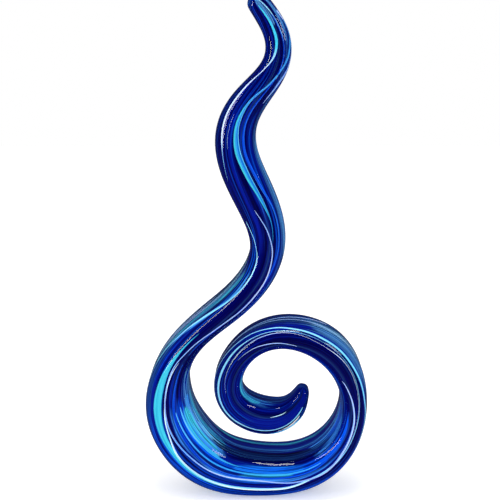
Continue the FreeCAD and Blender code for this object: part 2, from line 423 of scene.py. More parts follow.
line.links.new(half_width, fall.inputs["From Min"])
line.links.new(sum_of(line, "ADD", half_width, edge), fall.inputs["From Max"])
fall.inputs["To Min"].default_value = 1.0
fall.inputs["To Max"].default_value = 0.0
there = sum_of(line, "DIVIDE", sum_of(line, "SUBTRACT", half_width, THINNEST), edge)
there = sum_of(line, "MINIMUM", sum_of(line, "MULTIPLY", there, FADE), 1.0)
there = sum_of(line, "MAXIMUM", there, 0.0)
result = put(line, "NodeGroupOutput")
line.links.new(sum_of(line, "MULTIPLY", fall.outputs[0], there), result.inputs[0])


def coloured_glass(name, painted_glow):
    """A coloured glass with a painted glow: its emission, in its own colour, stands in for the light
    that comes through it. Gives the material and its shader.
    """
    material = bpy.data.materials.new(name)
    material.use_nodes = True
    shader = material.node_tree.nodes["Principled BSDF"]
    shader.inputs["Roughness"].default_value = 0.5
    shader.inputs["Specular IOR Level"].default_value = 0.0
    shader.inputs["Emission Strength"].default_value = painted_glow
    return material, shader


def mixed(tree, mask, first, second, **settings):
    """Lays a second colour over a first one by a mask; colours are sockets or plain triples."""
    # A Mix node has its colours at sockets 6 and 7 and gives theirs at socket 2.
    node = put(tree, "ShaderNodeMix", data_type="RGBA", **settings)
    for number, value in ((0, mask), (6, first), (7, second)):
        feed(tree, node.inputs[number], value)
    return node.outputs[2]


def streak_mask(tree, **values):
    """The mask of streaks with these values."""
    node = put(tree, "ShaderNodeGroup", node_tree=streaks)
    for name in STREAK_NAMES:
        node.inputs[name].default_value = values[name.lower()]
    return node.outputs[0]


def streaked(tree, colour, tint, **values):
    """Lays streaks of a tint over a colour."""
    return mixed(tree, streak_mask(tree, **values), colour, tint)


def deepened(tree, colour, tint, **values):
    """Darkens a colour by a tint, in streaks."""
    return mixed(tree, streak_mask(tree, **values), colour, tint, blend_type="MULTIPLY")


def curve_along(tree, along, points, reach):
    """A value between minus and plus the reach that follows its points along the rope."""
    node = put(tree, "ShaderNodeFloatCurve")
    tree.links.new(along, node.inputs["Value"])
    node.mapping.extend = "HORIZONTAL"
    curve = node.mapping.curves[0]
    spots = [(place / LAST, 0.5 + value / reach / 2) for place, value in points]
    curve.points[0].location = spots[0]
    curve.points[1].location = spots[-1]
    for spot in spots[1:-1]:
        curve.points.new(*spot)
    for point in curve.points:
        point.handle_type = "AUTO_CLAMPED"
    node.mapping.update()
    return sum_of(tree, "MULTIPLY_ADD", node.outputs[0], 2 * reach, -reach)


TURN_REACH = 0.5
WIDTH_REACH = 0.2


def line_mask(tree, along, rows, edge):
    """The mask of a line whose rows are place along the rope, turn round it and half width."""
    turns = [(place, turn) for place, turn, half in rows]
    halves = [(place, half) for place, turn, half in rows]
    node = put(tree, "ShaderNodeGroup", node_tree=line)
    tree.links.new(curve_along(tree, along, turns, TURN_REACH), node.inputs["Centre"])
    tree.links.new(curve_along(tree, along, halves, WIDTH_REACH), node.inputs["Half Width"])
    node.inputs["Edge"].default_value = edge
    return node.outputs[0]


# Lines with at least this soft an edge are broad bands, which end in fibres.
BROAD_EDGE = 0.03
FIBRES = 45.0
FIBRE_REACH = 0.08
FIBRE_SHIFT = 3.0


def feathered(tree):
    """The share of the way along, shifted from fibre to fibre round the section."""
    turn, along = way_of(tree)
    fibre = put(tree, "ShaderNodeTexNoise", noise_dimensions="1D")
    fibre.inputs["Scale"].default_value = FIBRES
    fibre.inputs["Detail"].default_value = 3.0
    tree.links.new(turn, fibre.inputs["W"])
    shift = sum_of(tree, "MULTIPLY_ADD", fibre.outputs[0], 2 * FIBRE_REACH, -FIBRE_REACH)
    return sum_of(tree, "ADD", along, shift)


def lined(tree, colour, lines):
    """Lays lines over a colour: each has a colour, a soft edge, the share of it that is whole and not
    broken into fibres, and rows."""
    along = way_of(tree)[1]
    ragged = feathered(tree)
    for number, (tint, edge, whole, rows) in enumerate(lines):
        mask = line_mask(tree, ragged if edge >= BROAD_EDGE else along, rows, edge)
        shift = FIBRE_SHIFT * number
        fibre = streak_mask(tree, around=14.0, along=10.0, shift=shift, low=0.38, high=0.56)
        mask = sum_of(tree, "MULTIPLY", mask, sum_of(tree, "MULTIPLY_ADD", fibre, 1 - whole, whole))
        colour = mixed(tree, mask, colour, tint)
    return colour


def seen_in(tree, shader, colour):
    """Gives a shader its colour, and its painted glow the same one, standing in for light through the glass.
    """
    tree.links.new(colour, shader.inputs["Base Color"])
    tree.links.new(colour, shader.inputs["Emission Color"])


INK = (0.0003, 0.0003, 0.04)
NAVY = (0.0005, 0.0008, 0.075)
COBALT = (0.001, 0.008, 0.24)
TEAL = (0.010, 0.065, 0.26)
ROYAL = (0.002, 0.09, 0.72)
AZURE = (0.01, 0.2, 0.8)
SKY = (0.05, 0.28, 0.74)
AQUA = (0.05, 0.51, 0.64)
ICE = (0.32, 0.70, 0.92)
SLATE = (0.020, 0.07, 0.23)
MIST = (0.08, 0.27, 0.56)
COBALT_SHADE = (0.13, 0.2, 0.36)
# Each line has a colour, a soft edge, the share of it that is whole, and rows, which are place
# along the rope, turn round it and half width in turns.
COBALT_LINES = (
    (NAVY, 0.04, 0.8, ((8.5, 0.02, 0.0), (10.5, 0.02, 0.04), (14.0, 0.03, 0.05), (16.0, 0.03, 0.0))),
    (NAVY, 0.04, 0.8, ((25.5, 0.0, 0.0), (27.0, 0.0, 0.04), (30.0, 0.0, 0.04), (32.0, 0.0, 0.0))),
    (NAVY, 0.03, 0.8, ((0.5, 0.06, 0.03), (2.5, 0.08, 0.03), (4.5, 0.12, 0.02), (5.5, 0.13, 0.0))),
    (SLATE, 0.04, 0.6, ((5.0, 0.22, 0.0), (6.5, 0.19, 0.04), (9.0, 0.19, 0.04), (10.5, 0.22, 0.0))),
    (MIST, 0.02, 0.0, ((5.3, 0.21, 0.0), (6.5, 0.19, 0.03), (9.0, 0.19, 0.03), (10.5, 0.22, 0.0))),
    (MIST, 0.03, 0.3, ((15.1, 0.15, 0.0), (16.0, 0.15, 0.06), (17.0, 0.16, 0.05), (18.0, 0.19, 0.0))),
    (COBALT, 0.03, 0.3, (
        (15.4, 0.08, 0.0), (17.5, 0.09, 0.05), (20.0, 0.06, 0.04), (23.0, 0.07, 0.05), (26.0, 0.1, 0.0),
    )),
    (ROYAL, 0.02, 0.0, (
        (16.0, 0.06, 0.0), (18.0, 0.07, 0.03), (20.0, 0.05, 0.01),
        (22.0, 0.05, 0.02), (24.0, 0.05, 0.02), (26.0, 0.06, 0.0),
    )),
    (SKY, 0.02, 0.0, (
        (16.0, 0.13, 0.0), (17.5, 0.13, 0.05), (19.0, 0.12, 0.02), (20.0, 0.1, 0.0),
        (23.0, 0.1, 0.0), (24.5, 0.12, 0.012), (26.0, 0.14, 0.0),
    )),
    (AQUA, 0.02, 0.0, ((16.0, 0.19, 0.0), (17.0, 0.2, 0.03), (18.4, 0.19, 0.03), (19.6, 0.17, 0.0))),
    (AQUA, 0.015, 0.0, ((16.5, 0.1, 0.0), (17.4, 0.105, 0.02), (18.6, 0.1, 0.02), (19.5, 0.09, 0.0))),
    (ICE, 0.012, 0.0, ((16.4, 0.14, 0.0), (17.5, 0.15, 0.012), (18.8, 0.15, 0.01), (19.8, 0.14, 0.0))),
    (INK, 0.03, 0.9, ((18.8, 0.14, 0.0), (20.0, 0.16, 0.035), (22.3, 0.16, 0.04), (23.4, 0.16, 0.0))),
    (AZURE, 0.02, 0.2, ((20.0, 0.06, 0.0), (20.9, 0.06, 0.02), (21.9, 0.06, 0.022), (23.0, 0.065, 0.0))),
    (AQUA, 0.010, 0.1, ((20.4, 0.03, 0.0), (21.0, 0.033, 0.008), (21.8, 0.033, 0.008), (22.5, 0.03, 0.0))),
    (SKY, 0.02, 0.0, ((23.2, 0.19, 0.0), (24.2, 0.19, 0.02), (25.2, 0.19, 0.02), (26.4, 0.18, 0.0))),
    (MIST, 0.03, 0.2, (
        (10.6, -0.16, 0.0), (11.8, -0.18, 0.02), (13.0, -0.2, 0.03), (14.0, -0.22, 0.02),
        (14.8, -0.23, 0.0),
    )),
    (AQUA, 0.015, 0.0, (
        (10.8, -0.14, 0.0), (12.0, -0.17, 0.012), (13.0, -0.195, 0.014), (14.4, -0.21, 0.012),
        (15.6, -0.22, 0.0),
    )),
    (TEAL, 0.025, 0.6, (
        (13.8, -0.17, 0.0), (15.5, -0.165, 0.02), (18.0, -0.165, 0.025), (21.0, -0.16, 0.03),
        (24.5, -0.16, 0.03), (26.0, -0.17, 0.0),
    )),
    (ROYAL, 0.015, 0.3, (
        (16.0, -0.14, 0.0), (18.0, -0.13, 0.008), (21.0, -0.12, 0.014), (24.0, -0.14, 0.008),
        (26.0, -0.16, 0.0),
    )),
    (SKY, 0.010, 0.5, (
        (16.0, 0.0, 0.0), (17.5, 0.012, 0.004), (20.0, 0.006, 0.005), (23.0, 0.0, 0.004), (25.0, 0.0, 0.0),
    )),
    (AQUA, 0.010, 0.8, ((20.2, 0.02, 0.0), (21.0, 0.025, 0.007), (21.9, 0.02, 0.0))),
    (SKY, 0.008, 0.7, (
        (10.5, -0.088, 0.0), (11.5, -0.09, 0.005), (13.0, -0.12, 0.006), (14.0, -0.155, 0.004),
        (15.0, -0.18, 0.0),
    )),
    (ROYAL, 0.02, 0.2, (
        (24.0, 0.17, 0.0), (26.0, 0.17, 0.02), (29.0, 0.16, 0.015), (31.5, 0.13, 0.015), (33.0, 0.12, 0.0),
    )),
    (SLATE, 0.04, 0.7, ((25.5, 0.16, 0.0), (26.2, 0.16, 0.03), (27.0, 0.16, 0.0))),
    (MIST, 0.04, 0.7, ((26.3, -0.19, 0.0), (27.2, -0.18, 0.03), (28.4, -0.19, 0.03), (29.2, -0.2, 0.0))),
    (COBALT, 0.025, 0.2, ((28.8, -0.17, 0.0), (30.0, -0.19, 0.02), (31.5, -0.2, 0.02), (32.7, -0.2, 0.0))),
    # At the tip: a pale patch and thin light lines, painted reflections.
    (MIST, 0.02, 0.3, ((0.3, 0.0, 0.02), (0.8, 0.015, 0.02), (1.2, 0.03, 0.0))),
    (ICE, 0.006, 0.8, (
        (0.3, 0.04, 0.004), (0.9, 0.07, 0.004), (1.5, 0.09, 0.004), (2.1, 0.10, 0.004),
        (2.8, 0.09, 0.003), (3.3, 0.08, 0.0),
    )),
    (MIST, 0.015, 0.3, ((0.3, 0.12, 0.01), (1.0, 0.15, 0.02), (1.6, 0.17, 0.01), (2.0, 0.17, 0.0))),
    (SKY, 0.04, 0.6, ((32.2, 0.16, 0.0), (33.3, 0.18, 0.04), (35.0, 0.19, 0.04), (36.2, 0.2, 0.0))),
    (AQUA, 0.02, 0.0, ((32.4, 0.14, 0.0), (33.5, 0.15, 0.02), (34.6, 0.16, 0.02), (35.4, 0.17, 0.0))),
    (COBALT, 0.03, 0.6, ((35.0, -0.05, 0.0), (36.5, -0.05, 0.05), (38.0, -0.05, 0.03))),
)
cobalt_glass, shader = coloured_glass("cobalt_glass", painted_glow=0.62)
tree = cobalt_glass.node_tree
colour = streaked(tree, NAVY, COBALT, around=5.0, along=6.0, shift=0.0, low=0.44, high=0.62)
colour = streaked(tree, colour, ROYAL, around=9.0, along=5.0, shift=20.0, low=0.55, high=0.74)
colour = lined(tree, colour, COBALT_LINES)
colour = streaked(tree, colour, SKY, around=20.0, along=9.0, shift=40.0, low=0.68, high=0.9)
colour = deepened(tree, colour, COBALT_SHADE, around=24.0, along=7.0, shift=50.0, low=0.46, high=0.60)
seen_in(tree, shader, colour)
cobalt.data.materials.append(cobalt_glass)

# Pale core: the clearer slate-blue glass that fills the back lobe, fused to the flat back of the
# cobalt core. It is cloudy with veils of other blues, and the light comes through it where they
# are thin.
CORE_CLEARANCE = 0.004
pale = core("pale_rope", CORE_SPLIT + CORE_CLEARANCE, 1 - CORE_SPLIT - CORE_CLEARANCE)
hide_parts("pale_core")

DEEP_SLATE = (0.0015, 0.01, 0.12)
BLUE_SLATE = (0.006, 0.035, 0.24)
DUSK = (0.003, 0.018, 0.15)
SLATE_SHADE = (0.15, 0.25, 0.45)
ZONE_EDGE = 0.04
THIN_ZONES = (
    ((4.8, 0.31, 0.0), (6.0, 0.31, 0.08), (9.0, 0.31, 0.08), (10.2, 0.31, 0.0)),
    ((9.3, -0.32, 0.0), (11.0, -0.32, 0.06), (12.5, -0.32, 0.10), (14.8, -0.32, 0.09), (17.2, -0.32, 0.0)),
    ((15.0, 0.32, 0.0), (16.0, 0.32, 0.08), (17.0, 0.32, 0.08), (18.0, 0.32, 0.0)),
    (
        (25.2, -0.32, 0.0), (26.4, -0.32, 0.07), (27.4, -0.32, 0.09), (28.3, -0.30, 0.05),
        (29.4, -0.26, 0.01), (30.2, -0.24, 0.0),
    ),
    ((0.5, 0.36, 0.05), (3.0, 0.36, 0.06), (4.0, 0.36, 0.0)),
)
SLATE_LINES = (
    (SLATE, 0.04, 0.6, (
        (14.5, -0.30, 0.0), (16.5, -0.30, 0.08), (20.0, -0.30, 0.07), (25.0, -0.30, 0.08),
        (28.5, -0.30, 0.0),
    )),
    (MIST, 0.03, 0.0, ((22.5, -0.28, 0.0), (24.5, -0.28, 0.05), (26.5, -0.28, 0.06), (28.0, -0.28, 0.0))),
    (COBALT, 0.04, 0.5, (
        (16.5, 0.30, 0.0), (18.0, 0.31, 0.05), (22.0, 0.31, 0.06), (26.0, 0.30, 0.06), (29.0, 0.29, 0.0),
    )),
    (SKY, 0.012, 0.3, (
        (17.0, 0.25, 0.0), (19.0, 0.25, 0.005), (23.0, 0.245, 0.005), (26.0, 0.25, 0.006),
        (31.0, 0.25, 0.0),
    )),
    (AQUA, 0.012, 0.1, (
        (18.0, 0.33, 0.0), (20.0, 0.33, 0.005), (24.0, 0.33, 0.005), (28.0, 0.33, 0.005),
        (32.0, 0.32, 0.0),
    )),
    (SLATE, 0.02, 0.0, ((28.8, -0.30, 0.0), (29.8, -0.30, 0.05), (31.8, -0.31, 0.06), (33.0, -0.31, 0.0))),
    (DUSK, 0.05, 0.7, ((28.2, -0.30, 0.0), (29.2, -0.31, 0.06), (31.0, -0.32, 0.07), (33.0, -0.31, 0.0))),
    (SKY, 0.008, 0.5, ((27.8, -0.36, 0.0), (29.0, -0.33, 0.004), (30.5, -0.30, 0.005), (32.0, -0.28, 0.0))),
)
VEIL_LINES = (
    (ICE, 0.02, 0.0, (
        (10.2, -0.26, 0.0), (11.4, -0.27, 0.03), (13.2, -0.29, 0.05), (14.8, -0.30, 0.04),
        (16.4, -0.31, 0.0),
    )),
    (NAVY, 0.02, 0.0, (
        (9.6, -0.29, 0.0), (11.0, -0.30, 0.02), (13.0, -0.32, 0.03), (15.0, -0.33, 0.03),
        (16.6, -0.33, 0.0),
    )),
    (ICE, 0.02, 0.0, (
        (25.4, -0.26, 0.0), (26.5, -0.26, 0.03), (27.5, -0.27, 0.04), (28.4, -0.26, 0.02),
        (29.3, -0.26, 0.0),
    )),
    (SLATE, 0.02, 0.0, ((25.4, -0.33, 0.0), (26.5, -0.34, 0.03), (28.0, -0.35, 0.03), (29.6, -0.35, 0.0))),
    (ICE, 0.015, 0.0, ((0.5, 0.28, 0.01), (1.4, 0.29, 0.03), (2.6, 0.29, 0.02), (3.6, 0.28, 0.0))),
)
WHOLE_ALPHA = 0.99
VEIL_ALPHA = 0.91
VEIL_ALPHA_RISE = 0.08
slate_glass, shader = coloured_glass("slate_glass", painted_glow=0.45)
tree = slate_glass.node_tree
thin = 0.0
ragged = feathered(tree)
for rows in THIN_ZONES:
    thin = sum_of(tree, "MAXIMUM", line_mask(tree, ragged, rows, ZONE_EDGE), thin)
colour = streaked(tree, DEEP_SLATE, BLUE_SLATE, around=5.0, along=7.0, shift=3.0, low=0.35, high=0.65)
colour = streaked(tree, colour, SKY, around=12.0, along=6.0, shift=13.0, low=0.56, high=0.76)
colour = lined(tree, colour, SLATE_LINES)
cloudy = streaked(tree, SLATE, MIST, around=11.0, along=5.0, shift=23.0, low=0.42, high=0.58)
colour = lined(tree, mixed(tree, thin, colour, cloudy), VEIL_LINES)
colour = deepened(tree, colour, SLATE_SHADE, around=22.0, along=6.0, shift=60.0, low=0.46, high=0.60)
seen_in(tree, shader, colour)


def between(tree, share, first, second):
    """A value this share of the way from a first to a second one; each is a socket or a number."""
    # A Mix node has its plain values at sockets 2 and 3 and gives theirs at socket 0.
    node = put(tree, "ShaderNodeMix", data_type="FLOAT")
    for number, value in ((0, share), (2, first), (3, second)):
        feed(tree, node.inputs[number], value)
    return node.outputs[0]


veil = streak_mask(tree, around=7.0, along=6.0, shift=9.0, low=0.35, high=0.65)
veil = sum_of(tree, "MULTIPLY_ADD", veil, VEIL_ALPHA_RISE, VEIL_ALPHA)
tree.links.new(between(tree, thin, WHOLE_ALPHA, veil), shader.inputs["Alpha"])
pale.data.materials.append(slate_glass)

# Aqua cane: the broad cyan cane that was laid on the cobalt core and pulled out with it, a flat
# lens in section, which wanders over the front of the rope.
CANE_DEPTH = 1.2
# Where its half width is under the full one, a cane lies up to this much deeper.
CANE_SINK = 1.5
FULL_HALF = 0.004
# The turns that a cane's own map spans on each side, for the streaks along it.
CANE_SPREAD = 0.04
CANE_CORNERS = (
    (-1.0, 0.5), (-0.6, 0.0), (0.0, 0.0), (0.6, 0.0), (1.0, 0.5), (0.6, 1.0), (0.0, 1.0), (-0.6, 1.0),
)


def table_at(rows, place):
    """The values of a table's rows at a place between them, eased from one row to the next."""
    if place <= rows[0][0]:
        return rows[0][1:]
    for low, high in zip(rows, rows[1:]):
        if place <= high[0]:
            share = (place - low[0]) / (high[0] - low[0])
            share = share * share * (3 - 2 * share)
            return tuple(a + (b - a) * share for a, b in zip(low[1:], high[1:]))
    return rows[-1][1:]


def strand(name, rows, top):
    """One cane that follows its rows along the rope, its upper side this deep in the glass and
    deeper where it is thin."""
    between_ends = [place for place in places_from(END_WALL, steps=3) if rows[0][0] < place < rows[-1][0]]
    places = [rows[0][0]] + between_ends + [rows[-1][0]]
    outlines = []
    for place in places:
        middle, half = table_at(rows, place)
        sunk = top + CANE_SINK * (1 - min(half / FULL_HALF, 1))
        lens = [(middle + half * side, sunk + CANE_DEPTH * deep) for side, deep in CANE_CORNERS]
        outlines.append([rope_point(place, turn, inset, END_WALL) for turn, inset in lens])
    piece = draw_out(name, outlines, [CANE_SPREAD * side for side, deep in CANE_CORNERS], places)
    smoothed(piece, levels=1)
    return piece


def canes(name, node, top, tables):
    """The canes of one kind as one piece in place of their node."""
    pieces = [strand(name, rows, top) for rows in tables]
    bpy.ops.object.select_all(action="DESELECT")
    for piece in pieces:
        piece.select_set(True)
    bpy.context.view_layer.objects.active = pieces[0]
    if len(pieces) > 1:
        bpy.ops.object.join()
    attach(pieces[0], "root")
    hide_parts(node)
    return pieces[0]


# The rows of a cane, here and below, are place along the rope, turn round it and half width in turns.
AQUA_ROWS = (
    (0.8, 0.17, 0.004), (1.5, 0.21, 0.005), (2.2, 0.13, 0.007), (3.0, 0.055, 0.009), (4.2, -0.005, 0.010),
    (5.0, 0.0, 0.016), (6.0, 0.01, 0.022), (7.0, 0.025, 0.020), (8.0, 0.04, 0.012), (8.8, 0.05, 0.003),
    (10.0, 0.03, 0.001), (13.3, -0.03, 0.001), (14.1, -0.036, 0.006), (14.8, -0.043, 0.017),
    (15.5, -0.05, 0.027), (16.4, -0.058, 0.029), (17.2, -0.06, 0.022), (18.2, -0.06, 0.014),
    (20.0, -0.05, 0.011), (22.0, -0.05, 0.010), (23.0, -0.02, 0.006), (24.2, -0.03, 0.003),
    (28.0, -0.06, 0.001), (31.0, -0.11, 0.003), (31.8, -0.118, 0.011), (32.5, -0.105, 0.015),
    (33.3, -0.10, 0.012), (34.1, -0.10, 0.007), (35.0, -0.10, 0.002), (38.0, -0.08, 0.001),
)
aqua = canes("aqua_cane", "aqua_ribbon", top=2.25, tables=(AQUA_ROWS,))


def shades_along(tree, stops):
    """A colour that goes from stop to stop along the rope: each is a share of the way and a colour."""
    shades = put(tree, "ShaderNodeValToRGB")
    tree.links.new(way_of(tree)[1], shades.inputs[0])
    elements = shades.color_ramp.elements
    for number in (0, -1):
        share, tint = stops[number]
        elements[number].position = share
        elements[number].color = (*tint, 1)
    for share, tint in stops[1:-1]:
        elements.new(share).color = (*tint, 1)
    return shades.outputs[0]


CERULEAN = (0.012, 0.22, 0.62)
PALE_AQUA = (0.16, 0.62, 0.80)
AQUA_SHADE = (0.4, 0.68, 0.85)
AQUA_STOPS = (
    (0.10, SKY), (0.14, CERULEAN), (0.21, CERULEAN), (0.34, AQUA), (0.48, AQUA), (0.55, ICE), (0.78, ICE),
    (0.88, ICE),
)
EDGE_SOFTNESS = 0.015
BRIGHT_EDGE = ((4.3, -0.03, 0.002), (5.0, -0.03, 0.010), (7.6, -0.03, 0.010), (8.8, -0.03, 0.002))
aqua_glass, shader = coloured_glass("aqua_glass", painted_glow=0.62)
tree = aqua_glass.node_tree
colour = shades_along(tree, AQUA_STOPS)
colour = streaked(tree, colour, PALE_AQUA, around=8.0, along=5.0, shift=15.0, low=0.54, high=0.68)
colour = deepened(tree, colour, AQUA_SHADE, around=10.0, along=5.0, shift=70.0, low=0.48, high=0.62)
colour = mixed(tree, line_mask(tree, way_of(tree)[1], BRIGHT_EDGE, EDGE_SOFTNESS), colour, AQUA)
seen_in(tree, shader, colour)
aqua.data.materials.append(aqua_glass)

# Royal cane: a royal-blue cane on the side of the front lobe that faces into the coil, laid on the
# cobalt core beside the aqua one and pulled out with it.
ROYAL_ROWS = (
    (0.8, 0.05, 0.006), (3.0, 0.06, 0.005), (4.5, 0.05, 0.012), (6.0, 0.055, 0.015), (7.5, 0.075, 0.013),
    (8.5, 0.10, 0.005), (12.0, 0.06, 0.003), (15.0, 0.05, 0.009), (17.0, 0.03, 0.008), (20.0, 0.02, 0.006),
    (23.0, 0.03, 0.007), (26.0, 0.10, 0.006), (29.0, 0.13, 0.006), (32.0, 0.10, 0.007), (34.0, 0.07, 0.004),
    (36.0, 0.0, 0.001), (38.0, 0.0, 0.001),
)
DEEP_ROYAL = (0.001, 0.02, 0.38)
royal = canes("royal_cane", "royal_ribbon", top=2.35, tables=(ROYAL_ROWS,))
royal_glass, shader = coloured_glass("royal_glass", painted_glow=0.62)
tree = royal_glass.node_tree
colour = streaked(tree, DEEP_ROYAL, ROYAL, around=8.0, along=6.0, shift=2.0, low=0.4, high=0.6)
colour = streaked(tree, colour, SKY, around=11.0, along=7.0, shift=22.0, low=0.56, high=0.7)
seen_in(tree, shader, colour)
royal.data.materials.append(royal_glass)

# Ridge thread: the fine white cane along the front ridge. It lies nearest to the skin, because it
# was laid last, and shows as a line of white where it is thick. Its white along the bottom ridge and
# its short dashes on the coil and at the beak are painted highlights.
# Rows from 18.3 to 23.0 paint the highlight along the bottom ridge; the dashes at 28.0, 30.5 and 36.7 to
# 37.4 are painted glints.
THREAD_AND_HIGHLIGHT_ROWS = (
    (0.8, 0.02, 0.001), (4.0, -0.05, 0.001), (8.0, -0.06, 0.001), (12.0, 0.0, 0.001), (13.8, 0.03, 0.001),
    (14.5, 0.018, 0.002), (15.2, -0.003, 0.003), (16.0, -0.010, 0.003), (17.3, -0.026, 0.003),
    (18.3, -0.05, 0.005), (20.0, -0.048, 0.006), (21.0, -0.053, 0.006), (22.0, -0.05, 0.006),
    (22.5, -0.035, 0.005), (23.0, -0.02, 0.003), (24.0, -0.02, 0.001), (27.6, -0.045, 0.001),
    (28.0, -0.04, 0.003), (28.4, -0.035, 0.001), (30.1, -0.08, 0.001), (30.5, -0.08, 0.003),
    (30.9, -0.08, 0.001), (35.5, 0.03, 0.001), (36.7, 0.05, 0.004), (37.4, 0.065, 0.002),
)
PALE_BLUE = (0.30, 0.62, 0.80)
MILK_WHITE_AND_HIGHLIGHT = (0.85, 0.90, 0.97)
thread_and_highlights = canes("white_thread_and_highlights", "ridge_thread", top=2.05, tables=(THREAD_AND_HIGHLIGHT_ROWS,))
white_glass, shader = coloured_glass("white_glass", painted_glow=0.9)
tree = white_glass.node_tree
colour = streaked(tree, PALE_BLUE, MILK_WHITE_AND_HIGHLIGHT, around=5.0, along=14.0, shift=7.0, low=0.35, high=0.65)
seen_in(tree, shader, colour)
thread_and_highlights.data.materials.append(white_glass)

# Inner cane: the light-blue cane along the front lobe's inner edge, with lilac streaks. It was laid
# on the cobalt core, and crosses the front ridge several times on its way. Its short dash at the
# beak is a painted glint.
# The rows at 36.7 and 37.4 paint a glint at the beak.
INNER_ROWS = (
    (0.8, 0.16, 0.004), (1.5, 0.22, 0.005), (2.5, 0.19, 0.005), (3.2, 0.13, 0.004), (4.0, 0.11, 0.003),
    (5.5, 0.085, 0.001), (7.7, -0.04, 0.001), (8.4, -0.025, 0.003), (9.0, 0.005, 0.004), (10.0, 0.04, 0.004),
    (11.0, 0.062, 0.005), (12.0, 0.065, 0.005), (13.0, 0.05, 0.005), (14.0, 0.02, 0.005),
    (15.0, -0.01, 0.004), (17.3, -0.015, 0.004), (19.0, 0.0, 0.004), (21.0, 0.01, 0.004),
    (22.5, -0.015, 0.004), (23.5, -0.03, 0.007), (24.5, -0.01, 0.009), (25.5, 0.0, 0.010),
    (26.0, 0.02, 0.009), (26.8, 0.05, 0.007), (27.6, 0.09, 0.005), (28.2, 0.11, 0.001), (28.9, 0.07, 0.001),
    (29.4, 0.055, 0.004), (30.4, 0.025, 0.005), (31.2, -0.005, 0.003), (32.0, -0.02, 0.001),
    (34.0, 0.03, 0.001), (36.7, 0.08, 0.003), (37.4, 0.09, 0.003),
)
LILAC = (0.50, 0.60, 0.92)
inner = canes("inner_cane", "inner_ribbon", top=2.15, tables=(INNER_ROWS,))
sky_glass, shader = coloured_glass("sky_glass", painted_glow=0.75)
tree = sky_glass.node_tree
colour = streaked(tree, SKY, LILAC, around=6.0, along=12.0, shift=11.0, low=0.38, high=0.6)
seen_in(tree, shader, colour)
inner.data.materials.append(sky_glass)

# Crest cane: the light cane along the rope's outward side, laid on the cobalt core. Near the tip its
# white is a painted highlight; below, it is ice-blue and bright blue.
CREST_AND_HIGHLIGHT_ROWS = (
    (0.4, -0.02, 0.006), (0.9, -0.01, 0.012), (1.6, -0.015, 0.018), (2.3, -0.045, 0.014),
    (3.0, -0.095, 0.007), (3.7, -0.13, 0.007), (4.4, -0.118, 0.007), (5.0, -0.108, 0.006),
    (5.5, -0.10, 0.004), (5.9, -0.10, 0.001), (8.0, -0.15, 0.001), (8.8, -0.13, 0.004), (9.5, -0.105, 0.006),
    (10.3, -0.075, 0.007), (11.0, -0.07, 0.008), (11.7, -0.08, 0.009), (12.3, -0.10, 0.010),
    (13.0, -0.13, 0.011), (13.9, -0.165, 0.008), (14.8, -0.19, 0.004), (17.0, -0.2, 0.003),
    (20.0, -0.17, 0.003), (23.0, -0.15, 0.003), (25.5, -0.13, 0.006), (26.5, -0.10, 0.009),
    (27.5, -0.085, 0.011), (28.5, -0.09, 0.011), (29.5, -0.11, 0.009), (30.3, -0.14, 0.006),
    (31.2, -0.17, 0.005), (32.5, -0.2, 0.003), (38.0, -0.2, 0.001),
)
HIGHLIGHT_WHITE = (0.85, 0.88, 1.0)
BRIGHT_BLUE = (0.03, 0.36, 0.66)
# The white stops are the painted highlight.
CREST_AND_HIGHLIGHT_STOPS = ((0.05, AQUA), (0.075, HIGHLIGHT_WHITE), (0.14, HIGHLIGHT_WHITE), (0.16, ICE))
crest_and_highlight = canes("crest_cane_and_highlight", "crest_ribbon", top=2.1, tables=(CREST_AND_HIGHLIGHT_ROWS,))
crest_and_highlight_glass, shader = coloured_glass("crest_and_highlight_glass", painted_glow=0.85)
tree = crest_and_highlight_glass.node_tree
colour = shades_along(tree, CREST_AND_HIGHLIGHT_STOPS)
colour = streaked(tree, BRIGHT_BLUE, colour, around=7.0, along=8.0, shift=31.0, low=0.34, high=0.56)
seen_in(tree, shader, colour)
crest_and_highlight.data.materials.append(crest_and_highlight_glass)

# Trough streaks: seven fine canes of light blue on the side that faces into the coil. They were
# laid side by side on the two cores, and run where the rope is thickest.
TROUGH_TABLES = (
    (
        (15.6, 0.035, 0.001), (17.5, 0.045, 0.004), (20.0, 0.045, 0.004), (23.0, 0.05, 0.004),
        (25.0, 0.05, 0.001),
    ),
    (
        (15.8, 0.07, 0.001), (17.6, 0.075, 0.008), (19.0, 0.08, 0.009), (20.5, 0.075, 0.003),
        (23.0, 0.075, 0.003), (25.0, 0.08, 0.001),
    ),
    (
        (16.0, 0.105, 0.001), (18.0, 0.11, 0.004), (19.5, 0.105, 0.003), (22.5, 0.11, 0.001),
        (24.0, 0.11, 0.004), (26.0, 0.115, 0.001),
    ),
    (
        (16.5, 0.15, 0.001), (18.3, 0.155, 0.005), (19.5, 0.15, 0.001), (22.5, 0.15, 0.001),
        (24.0, 0.155, 0.005), (26.5, 0.16, 0.001),
    ),
    (
        (17.0, 0.20, 0.001), (19.0, 0.205, 0.005), (20.5, 0.2, 0.002), (22.0, 0.2, 0.003),
        (25.0, 0.21, 0.006), (27.0, 0.2, 0.001),
    ),
    (
        (17.5, 0.28, 0.001), (20.0, 0.285, 0.004), (23.0, 0.28, 0.004), (26.0, 0.27, 0.004),
        (28.0, 0.26, 0.001),
    ),
    (
        (24.0, 0.235, 0.001), (26.0, 0.23, 0.005), (28.0, 0.225, 0.007), (31.0, 0.21, 0.007),
        (33.0, 0.19, 0.004), (34.0, 0.17, 0.001),
    ),
)
TURQUOISE = (0.04, 0.44, 0.72)
trough = canes("trough_canes", "trough_streaks", top=2.2, tables=TROUGH_TABLES)
trough_glass, shader = coloured_glass("trough_glass", painted_glow=0.62)
tree = trough_glass.node_tree
